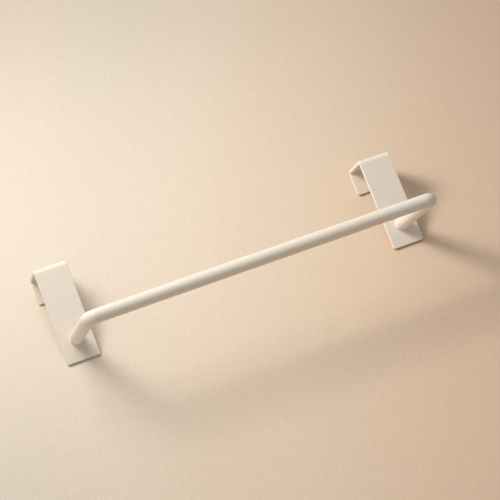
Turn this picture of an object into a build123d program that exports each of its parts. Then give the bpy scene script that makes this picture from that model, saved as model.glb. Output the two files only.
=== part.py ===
from build123d import *
import os

# Towel bar that hangs over the top edge of a cabinet door, with no screws.
# Two hooks, each folded from one piece of flat steel strip, carry one round steel rod.
# The rod's two ends are bent back square, so tightly that the inside of each corner is nearly sharp,
# and stand on the hooks' front plates. Each is held there by weld metal that fills a hole in the plate.
#
# Frame: +X along the bar, +Z up, -Y towards the person in front of the door.
# The origin is midway between the hooks, level with the undersides of their folds
# and midway across the channels that the door's edge fits in.

# Driving dimensions of the hooks, in millimetres
strip_width = 20.0
strip_thickness = 2.0
channel_width = 21.0  # clear gap from the plate to the lip
plate_height = 58.5  # from the top of the fold to the plate's lower end
lip_height = 16.5  # from the top of the fold to the lip's end
fold_inner_radius = 0.8
corner_radius = 1.0  # of the strip's cut corners
edge_rounding = 0.3  # of the outward edges, rolled over by the cut
edge_bevel = 0.2  # of the edges next to the door, deburred
hook_spacing = 210.0  # from one hook's centreline to the other's

# Driving dimensions of the bar, in millimetres
bar_diameter = 8.0
bar_reach = 60.0  # from the plates' front faces to the bar's centreline
bend_inner_radius = 0.5
leg_height = 13.0  # from the plates' lower ends to the legs' centrelines

# Driving dimension of the welds, in millimetres
weld_diameter = 5.0

# Places that follow from them
fold_radius = fold_inner_radius + strip_thickness / 2
plate_mid_y = -(channel_width + strip_thickness) / 2
lip_mid_y = -plate_mid_y
plate_front_y = plate_mid_y - strip_thickness / 2
fold_mid_z = strip_thickness / 2
plate_end_z = strip_thickness - plate_height
lip_end_z = strip_thickness - lip_height
bar_y = plate_front_y - bar_reach
leg_z = plate_end_z + leg_height
bend_radius = bend_inner_radius + bar_diameter / 2


def outline(strip, layer):
    """Upright edges of the strip's outward outline, layer 0, or of the one next to the door, layer 1."""
    sides = strip.faces().filter_by(Axis.X)
    return sides.edges().filter_by(Axis.Z).group_by(Axis.Y)[layer]


def folded_strip():
    """One hook's strip: plate, fold over the door's edge and lip, with no hole yet."""
    with BuildPart() as strip:
        with BuildSketch(Plane.YZ):
            with BuildLine():
                FilletPolyline(
                    (plate_mid_y, plate_end_z),
                    (plate_mid_y, fold_mid_z),
                    (lip_mid_y, fold_mid_z),
                    (lip_mid_y, lip_end_z),
                    radius=fold_radius,
                )
            trace(line_width=strip_thickness)
        extrude(amount=strip_width / 2, both=True)

        # The edges across the thickness at both ends are the cut corners.
        ends = strip.faces().filter_by(Axis.Z).sort_by(Axis.Z)[:2]
        fillet(ends.edges().filter_by(Axis.Y), corner_radius)

        # Each upright edge leads on round the whole outline that it belongs to.
        fillet(outline(strip, 0), edge_rounding)
        chamfer(outline(strip, 1), edge_bevel)
    return strip.part


def weld_plug():
    """Weld metal in the plate's hole, flush with both faces, with the hook at the middle."""
    middle = Plane(origin=(0, plate_mid_y, leg_z), z_dir=(0, 1, 0))
    return middle * Cylinder(weld_diameter / 2, strip_thickness)


def hook():
    """One hook, with the hole that the weld fills behind the leg."""
    return folded_strip() - weld_plug()


def towel_bar():
    """The rod: a straight bar along X and a leg bent back to the plate at each end."""
    half = hook_spacing / 2
    path = FilletPolyline(
        (-half, plate_front_y, leg_z),
        (-half, bar_y, leg_z),
        (half, bar_y, leg_z),
        (half, plate_front_y, leg_z),
        radius=bend_radius,
    )
    section = Plane(origin=path @ 0, z_dir=path % 0) * Circle(bar_diameter / 2)
    return sweep(section, path=path)


os.makedirs("parts", exist_ok=True)
for side, place_x in (("left", -hook_spacing / 2), ("right", hook_spacing / 2)):
    export_step(Pos(X=place_x) * hook(), f"parts/{side}_hook.step")
    export_step(Pos(X=place_x) * weld_plug(), f"parts/{side}_weld.step")
export_step(towel_bar(), "parts/towel_bar.step")
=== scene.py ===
import math

import bpy
from mathutils import Matrix, Vector


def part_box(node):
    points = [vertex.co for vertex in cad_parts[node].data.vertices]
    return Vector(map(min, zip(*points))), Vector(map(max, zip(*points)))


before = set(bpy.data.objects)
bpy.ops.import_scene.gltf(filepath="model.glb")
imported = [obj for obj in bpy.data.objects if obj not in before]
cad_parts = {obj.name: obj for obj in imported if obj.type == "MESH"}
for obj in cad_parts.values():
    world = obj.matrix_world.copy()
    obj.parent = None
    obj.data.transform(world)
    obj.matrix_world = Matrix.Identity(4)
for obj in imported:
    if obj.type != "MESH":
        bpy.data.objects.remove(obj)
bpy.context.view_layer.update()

# The bar lies on its back, as in the photograph: on the lips' ends and the plates' lower back edges.
# The floor therefore leans in the part's own frame, and these two points, seen along X, are on it.
hook_low, hook_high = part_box("left_hook")
strip_thickness = hook_high.z
channel_half = hook_high.y - strip_thickness
lip_drop = 0.0145
plate_foot = Vector((0, -channel_half, hook_low.z))
lip_foot = Vector((0, hook_high.y, -lip_drop))
rightwards = Vector((1, 0, 0))
floor_run = (lip_foot - plate_foot).normalized()
floor_up = rightwards.cross(floor_run)
floor_half = 3.0

# Powder coat: the two tones of its grain, and how fine and how deep the grain is
coat_tones = ((0.3, (0.780, 0.690, 0.583)), (0.7, (0.840, 0.745, 0.638)))
coat_grain_scale = 1400
coat_grain_depth = 0.00008
coat_grain_strength = 0.25
coat_roughness = 0.5

# Floor: its beige tint with painted light along a slant, lighter to the upper left and darker and
# warmer to the lower right; painted shade that darkens it along another line; and its fleck
tint_span = 0.4
# Painted light: the paper's beige grows lighter towards the upper left and darker and warmer towards
# the lower right
floor_tints_with_painted_light = (
    (0.00, (0.63, 0.46, 0.33)),
    (0.25, (0.69, 0.53, 0.39)),
    (0.50, (0.72, 0.59, 0.46)),
    (0.75, (0.72, 0.62, 0.51)),
    (1.00, (0.80, 0.66, 0.53)),
)
painted_light_slant = 0.5 * floor_run - 0.866 * rightwards
# Painted shade: the floor is darkened along this line, towards the lips' ends and a little to the
# right
painted_shade_line = floor_run + 0.30 * rightwards
painted_shade_factors = (1.08, 0.92)
fleck_scale = 700
fleck_roughness = 0.8
fleck_tones = (0.94, 1.06)
floor_roughness = 0.9
floor_specular = 0.1

# Camera, at the photograph's viewing angle
camera_place = Vector((-0.25282, -0.93828, -0.16621))
camera_right = Vector((0.90949, -0.20444, -0.36197))
camera_up = Vector((0.31561, -0.22714, 0.92130))
camera_back = -Vector((0.27058, 0.95216, 0.14206))
camera_lens_mm = 118.13
camera_sensor_mm = 36
camera_near = 0.01

# Lamps, both to the upper left and in front: a small one that favours the right end and whose shadows
# show, and a wide soft one near the left hook. The sky is paler above and on the left.
key_place = Vector((-0.238, -0.242, 0.314))
key_aim = Vector((0.754, -0.176, 0.211))
key_diameter = 0.16
key_watts = 25.4
fill_place = Vector((-0.190, -0.200, 0.230))
fill_aim = Vector((-0.105, -0.020, -0.030))
fill_diameter = 0.28
fill_watts = 0.82
sky_colour = (1, 0.99, 0.955)
sky_strength = 0.45
sky_lean = 0.22 * floor_run - 0.25 * rightwards


def new_material(name):
    """A node material with its tree, its shader and the coordinates of its object."""
    material = bpy.data.materials.new(name)
    material.use_nodes = True
    tree = material.node_tree
    shader = tree.nodes["Principled BSDF"]
    coords = tree.nodes.new("ShaderNodeTexCoord").outputs["Object"]
    return material, tree, shader, coords


def noise(tree, coords, scale, roughness):
    """A fine noise from 0 to 1."""
    node = tree.nodes.new("ShaderNodeTexNoise")
    node.inputs["Scale"].default_value = scale
    node.inputs["Detail"].default_value = 3
    node.inputs["Roughness"].default_value = roughness
    tree.links.new(coords, node.inputs["Vector"])
    return node.outputs["Fac"]


def tones(tree, source, stops, interpolation):
    """The colour that belongs to a number from 0 to 1."""
    node = tree.nodes.new("ShaderNodeValToRGB")
    ramp = node.color_ramp
    ramp.interpolation = interpolation
    while len(ramp.elements) < len(stops):
        ramp.elements.new(1)
    for element, (place, colour) in zip(ramp.elements, stops):
        element.position = place
        element.color = (*colour, 1)
    tree.links.new(source, node.inputs["Fac"])
    return node.outputs["Color"]


def map_range(tree, source, given, wanted):
    """A number carried over from one range to another."""
    node = tree.nodes.new("ShaderNodeMapRange")
    node.inputs["From Min"].default_value, node.inputs["From Max"].default_value = given
    node.inputs["To Min"].default_value, node.inputs["To Max"].default_value = wanted
    tree.links.new(source, node.inputs["Value"])
    return node.outputs["Result"]


def dot(tree, source, direction):
    """How far a point or a direction reaches along a fixed direction."""
    node = tree.nodes.new("ShaderNodeVectorMath")
    node.operation = "DOT_PRODUCT"
    node.inputs[1].default_value = direction
    tree.links.new(source, node.inputs[0])
    return node.outputs["Value"]


def place_along(tree, coords, direction, wanted):
    """Where a point lies along a direction, carried over to the wanted range."""
    half = tint_span / 2
    return map_range(tree, dot(tree, coords, direction), (-half, half), wanted)


def scaled(tree, colour, factor):
    """A colour made lighter or darker by a factor that varies over the surface."""
    node = tree.nodes.new("ShaderNodeVectorMath")
    node.operation = "SCALE"
    tree.links.new(colour, node.inputs[0])
    tree.links.new(factor, node.inputs["Scale"])
    return node.outputs["Vector"]


def powder_coat():
    """Off-white powder paint: matt to satin, with a very fine orange-peel grain."""
    material, tree, shader, coords = new_material("powder_coat")
    grain = noise(tree, coords, coat_grain_scale, 0.5)
    tree.links.new(tones(tree, grain, coat_tones, "LINEAR"), shader.inputs["Base Color"])

    bump = tree.nodes.new("ShaderNodeBump")
    bump.inputs["Strength"].default_value = coat_grain_strength
    bump.inputs["Distance"].default_value = coat_grain_depth
    tree.links.new(grain, bump.inputs["Height"])
    tree.links.new(bump.outputs["Normal"], shader.inputs["Normal"])

    shader.inputs["Roughness"].default_value = coat_roughness
    return material


def floor_finish():
    """Matt beige paper with a faint fleck and painted light and shade: lighter to the upper left,
    darker and warmer to the right. It is seen only from its upper side.
    """
    material, tree, shader, coords = new_material("floor")
    # Painted light: the beige tint is lighter towards the upper left and darker and warmer towards
    # the lower right
    tint_with_painted_light = tones(tree, place_along(tree, coords, painted_light_slant, (0, 1)), floor_tints_with_painted_light, "CARDINAL")
    # Painted shade: the tint is darkened along a second line, towards the lips' ends and a little to
    # the right
    shade = scaled(tree, tint_with_painted_light, place_along(tree, coords, painted_shade_line, painted_shade_factors))
    fleck = noise(tree, coords, fleck_scale, fleck_roughness)
    speckled = scaled(tree, shade, map_range(tree, fleck, (0.3, 0.7), fleck_tones))
    tree.links.new(speckled, shader.inputs["Base Color"])
    shader.inputs["Roughness"].default_value = floor_roughness
    shader.inputs["Specular IOR Level"].default_value = floor_specular

    geometry = tree.nodes.new("ShaderNodeNewGeometry")
    clear = tree.nodes.new("ShaderNodeBsdfTransparent")
    mix = tree.nodes.new("ShaderNodeMixShader")
    tree.links.new(geometry.outputs["Backfacing"], mix.inputs["Fac"])
    tree.links.new(shader.outputs["BSDF"], mix.inputs[1])
    tree.links.new(clear.outputs["BSDF"], mix.inputs[2])
    output = tree.nodes["Material Output"]
    tree.links.new(mix.outputs["Shader"], output.inputs["Surface"])
    return material


def make_floor():
    """A wide flat sheet that the lips' ends and the plates' lower back edges lie on."""
    across = rightwards * floor_half
    along = floor_run * floor_half
    signs = ((-1, -1), (1, -1), (1, 1), (-1, 1))
    corners = [plate_foot + across * a + along * b for a, b in signs]
    mesh = bpy.data.meshes.new("floor")
    mesh.from_pydata([tuple(c) for c in corners], [], [(0, 1, 2, 3)])
    mesh.update()
    floor = bpy.data.objects.new("floor", mesh)
    bpy.context.scene.collection.objects.link(floor)
    if mesh.polygons[0].normal.dot(floor_up) < 0:
        mesh.flip_normals()
    mesh.materials.append(floor_finish())


def make_lamp(name, kind, place, aim, watts):
    """A lamp that is turned to what it lights."""
    data = bpy.data.lights.new(name, kind)
    data.energy = watts
    lamp = bpy.data.objects.new(name, data)
    bpy.context.scene.collection.objects.link(lamp)
    lamp.location = place
    lamp.rotation_mode = "QUATERNION"
    lamp.rotation_quaternion = (aim - place).to_track_quat("-Z", "Y")
    return data


def make_lamps():
    """The small lamp, whose light keeps its strength with distance, and the wide one."""
    key = make_lamp("key", "SPOT", key_place, key_aim, key_watts)
    key.spot_size = math.pi
    key.spot_blend = 1
    key.shadow_soft_size = key_diameter / 2
    key.use_nodes = True
    reach = key.node_tree.nodes.new("ShaderNodeLightFalloff")
    reach.inputs["Strength"].default_value = 1
    emission = key.node_tree.nodes["Emission"]
    key.node_tree.links.new(reach.outputs["Constant"], emission.inputs["Strength"])

    fill = make_lamp("fill", "AREA", fill_place, fill_aim, fill_watts)
    fill.shape = "DISK"
    fill.size = fill_diameter


def make_sky():
    """A pale, faintly warm sky whose strength leans to one side."""
    world = bpy.data.worlds.new("sky")
    world.use_nodes = True
    tree = world.node_tree
    coords = tree.nodes.new("ShaderNodeTexCoord").outputs["Generated"]
    strength = map_range(tree, dot(tree, coords, sky_lean), (-1, 1), (0, 2 * sky_strength))
    background = tree.nodes["Background"]
    background.inputs["Color"].default_value = (*sky_colour, 1)
    tree.links.new(strength, background.inputs["Strength"])
    bpy.context.scene.world = world


def make_camera():
    """The photograph's camera."""
    data = bpy.data.cameras.new("camera")
    data.lens = camera_lens_mm
    data.sensor_width = camera_sensor_mm
    data.clip_start = camera_near
    camera = bpy.data.objects.new("camera", data)
    bpy.context.scene.collection.objects.link(camera)
    turn = Matrix((camera_right, camera_up, camera_back)).transposed().to_4x4()
    camera.matrix_world = Matrix.Translation(camera_place) @ turn
    bpy.context.scene.camera = camera


coat = powder_coat()
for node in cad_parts.values():
    node.data.materials.clear()
    node.data.materials.append(coat)
make_floor()
make_lamps()
make_sky()
make_camera()
bpy.context.scene.view_settings.view_transform = "Standard"
